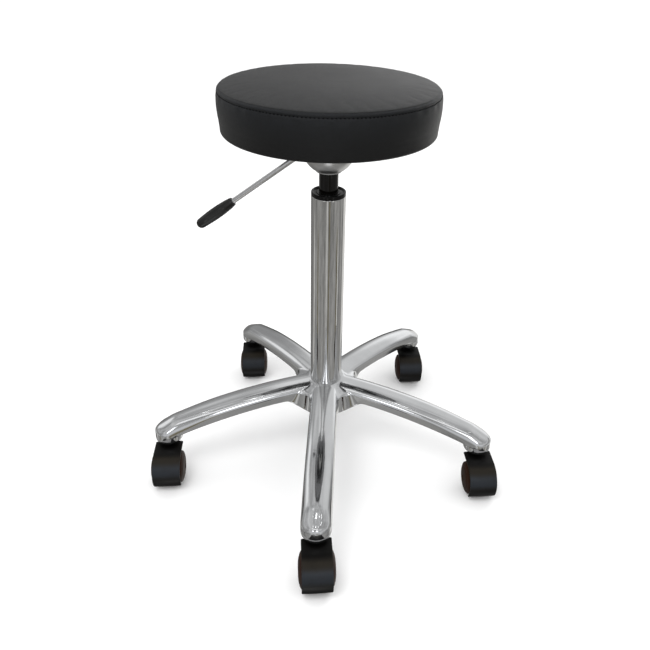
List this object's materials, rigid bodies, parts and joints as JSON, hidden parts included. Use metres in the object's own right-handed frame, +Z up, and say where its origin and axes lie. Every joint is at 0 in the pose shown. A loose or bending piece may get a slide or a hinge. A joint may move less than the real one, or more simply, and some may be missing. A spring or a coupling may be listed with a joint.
{
  "type": "salon stool",
  "caption": "Backless swivel stool with a round padded vinyl seat, gas-lift column with a side release lever, and a star base of arched metal arms on hooded twin-wheel casters.",
  "frame": {"origin": "on the column's axis at floor level", "axes": "+Z up along the column, -Y towards the pictured front along one arm, and -X towards the release lever at rest"},
  "size_m": [0.5427, 0.5513, 0.6213],
  "materials": {
    "cast_aluminium": "polished",
    "chrome_tube": "polished",
    "chrome_rod": "polished",
    "black_plastic": "satin",
    "zinc_steel": "satin",
    "axle_steel": "satin",
    "spring_steel": "satin",
    "brass": "satin",
    "dark_alloy": "satin",
    "buffer_rubber": "matte",
    "gloss_black_cylinder": "gloss",
    "white_plastic": "satin",
    "black_steel": "satin",
    "satin_bell": "satin",
    "plywood": "raw",
    "foam": "matte",
    "vinyl": "satin",
    "dust_cloth": "matte",
    "grip_plastic": "satin",
    "hood_nylon": "gloss",
    "wheel_nylon": "gloss"
  },
  "bodies": {
    "base": {"star_base": "cast_aluminium", "column_tube": "chrome_tube", "guide_bush": "black_plastic", "tube_disc": "zinc_steel", "lower_race": "zinc_steel", "ball_cage": "brass", "thrust_balls": "zinc_steel", "caster_stems": "zinc_steel", "grip_rings": "spring_steel"},
    "piston": {"piston_rod": "zinc_steel", "piston_head": "dark_alloy", "upper_race": "zinc_steel", "rubber_buffer": "buffer_rubber", "end_washer": "zinc_steel", "end_clip": "spring_steel"},
    "seat": {"gas_cylinder": "gloss_black_cylinder", "pressure_tube": "zinc_steel", "rod_gland": "dark_alloy", "valve_body": "brass", "lift_bracket": "black_steel", "lever_bracket": "black_steel", "lever_pin": "zinc_steel", "seat_plate": "black_steel", "bell": "satin_bell", "plate_bolts": "zinc_steel", "plate_washers": "zinc_steel", "t_nuts": "zinc_steel", "seat_board": "plywood", "seat_foam": "foam", "cover_top": "vinyl", "cover_band": "vinyl", "dust_cloth": "dust_cloth", "staples": "zinc_steel"},
    "lever": {"lever_rod": "chrome_rod", "lever_grip": "grip_plastic"},
    "release_pin": {"release_pin": "white_plastic"},
    "caster_1": {"hood_1": "hood_nylon", "axle_1": "axle_steel"},
    "caster_2": {"hood_2": "hood_nylon", "axle_2": "axle_steel"},
    "caster_3": {"hood_3": "hood_nylon", "axle_3": "axle_steel"},
    "caster_4": {"hood_4": "hood_nylon", "axle_4": "axle_steel"},
    "caster_5": {"hood_5": "hood_nylon", "axle_5": "axle_steel"},
    "left_wheel_1": {"wheel_left_1": "wheel_nylon"},
    "left_wheel_2": {"wheel_left_2": "wheel_nylon"},
    "left_wheel_3": {"wheel_left_3": "wheel_nylon"},
    "left_wheel_4": {"wheel_left_4": "wheel_nylon"},
    "left_wheel_5": {"wheel_left_5": "wheel_nylon"},
    "right_wheel_1": {"wheel_right_1": "wheel_nylon"},
    "right_wheel_2": {"wheel_right_2": "wheel_nylon"},
    "right_wheel_3": {"wheel_right_3": "wheel_nylon"},
    "right_wheel_4": {"wheel_right_4": "wheel_nylon"},
    "right_wheel_5": {"wheel_right_5": "wheel_nylon"}
  },
  "joints": [
    {"name": "seat_swivel", "type": "hinge", "parent": "base", "child": "piston", "pos_m": [0, 0, 0.09], "axis": [0, 0, 1], "continuous": true},
    {"name": "seat_lift", "type": "slide", "parent": "piston", "child": "seat", "axis": [0, 0, 1], "range_m": [-0.026, 0.17]},
    {"name": "lever_lift", "type": "hinge", "parent": "seat", "child": "lever", "pos_m": [-0.022, 0, 0.52473], "axis": [0, 1, 0], "range_deg": [0, 9], "stiffness_Nm_per_rad": 15, "springref_deg": -2.86},
    {"name": "pin_press", "type": "slide", "parent": "seat", "child": "release_pin", "axis": [0, 0, -1], "range_m": [0, 0.0038]},
    {"name": "caster_swivel_1", "type": "hinge", "parent": "base", "child": "caster_1", "pos_m": [0, -0.258, 0.0576], "axis": [0, 0, 1], "continuous": true},
    {"name": "left_wheel_roll_1", "type": "hinge", "parent": "caster_1", "child": "left_wheel_1", "pos_m": [0.00324, -0.28883, 0.025], "axis": [0.9945, 0.1045, 0], "continuous": true},
    {"name": "right_wheel_roll_1", "type": "hinge", "parent": "caster_1", "child": "right_wheel_1", "pos_m": [0.00324, -0.28883, 0.025], "axis": [0.9945, 0.1045, 0], "continuous": true},
    {"name": "caster_swivel_2", "type": "hinge", "parent": "base", "child": "caster_2", "pos_m": [0.24537, -0.07973, 0.0576], "axis": [0, 0, 1], "continuous": true},
    {"name": "left_wheel_roll_2", "type": "hinge", "parent": "caster_2", "child": "left_wheel_2", "pos_m": [0.24861, -0.11056, 0.025], "axis": [0.9945, 0.1045, 0], "continuous": true},
    {"name": "right_wheel_roll_2", "type": "hinge", "parent": "caster_2", "child": "right_wheel_2", "pos_m": [0.24861, -0.11056, 0.025], "axis": [0.9945, 0.1045, 0], "continuous": true},
    {"name": "caster_swivel_3", "type": "hinge", "parent": "base", "child": "caster_3", "pos_m": [0.15165, 0.20873, 0.0576], "axis": [0, 0, 1], "continuous": true},
    {"name": "left_wheel_roll_3", "type": "hinge", "parent": "caster_3", "child": "left_wheel_3", "pos_m": [0.15489, 0.1779, 0.025], "axis": [0.9945, 0.1045, 0], "continuous": true},
    {"name": "right_wheel_roll_3", "type": "hinge", "parent": "caster_3", "child": "right_wheel_3", "pos_m": [0.15489, 0.1779, 0.025], "axis": [0.9945, 0.1045, 0], "continuous": true},
    {"name": "caster_swivel_4", "type": "hinge", "parent": "base", "child": "caster_4", "pos_m": [-0.15165, 0.20873, 0.0576], "axis": [0, 0, 1], "continuous": true},
    {"name": "left_wheel_roll_4", "type": "hinge", "parent": "caster_4", "child": "left_wheel_4", "pos_m": [-0.14841, 0.1779, 0.025], "axis": [0.9945, 0.1045, 0], "continuous": true},
    {"name": "right_wheel_roll_4", "type": "hinge", "parent": "caster_4", "child": "right_wheel_4", "pos_m": [-0.14841, 0.1779, 0.025], "axis": [0.9945, 0.1045, 0], "continuous": true},
    {"name": "caster_swivel_5", "type": "hinge", "parent": "base", "child": "caster_5", "pos_m": [-0.24537, -0.07973, 0.0576], "axis": [0, 0, 1], "continuous": true},
    {"name": "left_wheel_roll_5", "type": "hinge", "parent": "caster_5", "child": "left_wheel_5", "pos_m": [-0.24213, -0.11056, 0.025], "axis": [0.9945, 0.1045, 0], "continuous": true},
    {"name": "right_wheel_roll_5", "type": "hinge", "parent": "caster_5", "child": "right_wheel_5", "pos_m": [-0.24213, -0.11056, 0.025], "axis": [0.9945, 0.1045, 0], "continuous": true}
  ],
  "couplings": [
    {"joint": "pin_press", "follows": "lever_lift", "m_per_rad": 0.0235}
  ]
}
